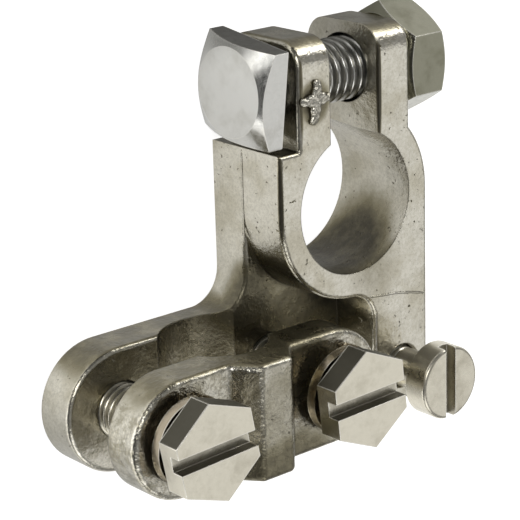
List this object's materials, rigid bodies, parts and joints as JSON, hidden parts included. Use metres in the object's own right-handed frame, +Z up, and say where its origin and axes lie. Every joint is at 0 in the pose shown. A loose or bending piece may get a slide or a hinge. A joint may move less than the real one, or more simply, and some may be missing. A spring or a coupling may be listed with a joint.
{
  "type": "battery terminal clamp",
  "caption": "Cast battery post clamp with a square-head pinch bolt across its split ring, a bridged cable jaw closed by slotted hex screws, and a side screw for a thin wire.",
  "frame": {"origin": "on the axis of the post bore, in the flat back face that lies on the battery", "axes": "+Z up the battery post, from the back face to the face with the screw heads; +X towards the nut of the pinch bolt; +Y from the bore towards the two ears; the cable lies along Y"},
  "size_m": [0.0568, 0.0508, 0.0246],
  "materials": {
    "plated_casting": "tin-plated brass casting, finely pitted",
    "plated_steel": "nickel-plated steel, machined",
    "spring_steel": "plated spring steel"
  },
  "bodies": {
    "root": {"clamp_body": "plated_casting"},
    "saddle": {"cable_saddle": "plated_casting", "spring_washer_left": "spring_steel", "spring_washer_right": "spring_steel"},
    "screw_left": {"saddle_screw_left": "plated_steel"},
    "screw_right": {"saddle_screw_right": "plated_steel"},
    "bolt": {"pinch_bolt": "plated_steel"},
    "nut": {"pinch_nut": "plated_steel"},
    "wire_screw": {"wire_screw": "plated_steel"}
  },
  "joints": [
    {"name": "saddle_travel", "type": "slide", "parent": "root", "child": "saddle", "axis": [0, 0, -1], "range_m": [-0.0025, 0.0022]},
    {"name": "left_screw_turn", "type": "hinge", "parent": "saddle", "child": "screw_left", "pos_m": [-0.0317, -0.0202, 0], "axis": [0, 0, -1], "range_deg": [-901, 793]},
    {"name": "right_screw_turn", "type": "hinge", "parent": "saddle", "child": "screw_right", "pos_m": [-0.0086, -0.0202, 0], "axis": [0, 0, -1], "range_deg": [-901, 793]},
    {"name": "bolt_draw", "type": "slide", "parent": "root", "child": "bolt", "axis": [1, 0, 0], "range_m": [-0.0012, 0.0015]},
    {"name": "nut_turn", "type": "hinge", "parent": "root", "child": "nut", "pos_m": [0, 0.0153, 0.0064], "axis": [1, 0, 0], "range_deg": [-433, 346.6]},
    {"name": "wire_screw_drive", "type": "slide", "parent": "root", "child": "wire_screw", "axis": [0, 0, -1], "range_m": [-0.004, 0.0052]}
  ],
  "couplings": [
    {"joint": "left_screw_turn", "follows": "saddle_travel", "rad_per_m": 6283.2},
    {"joint": "right_screw_turn", "follows": "saddle_travel", "rad_per_m": 6283.2},
    {"joint": "nut_turn", "follows": "bolt_draw", "rad_per_m": -5026.5}
  ]
}
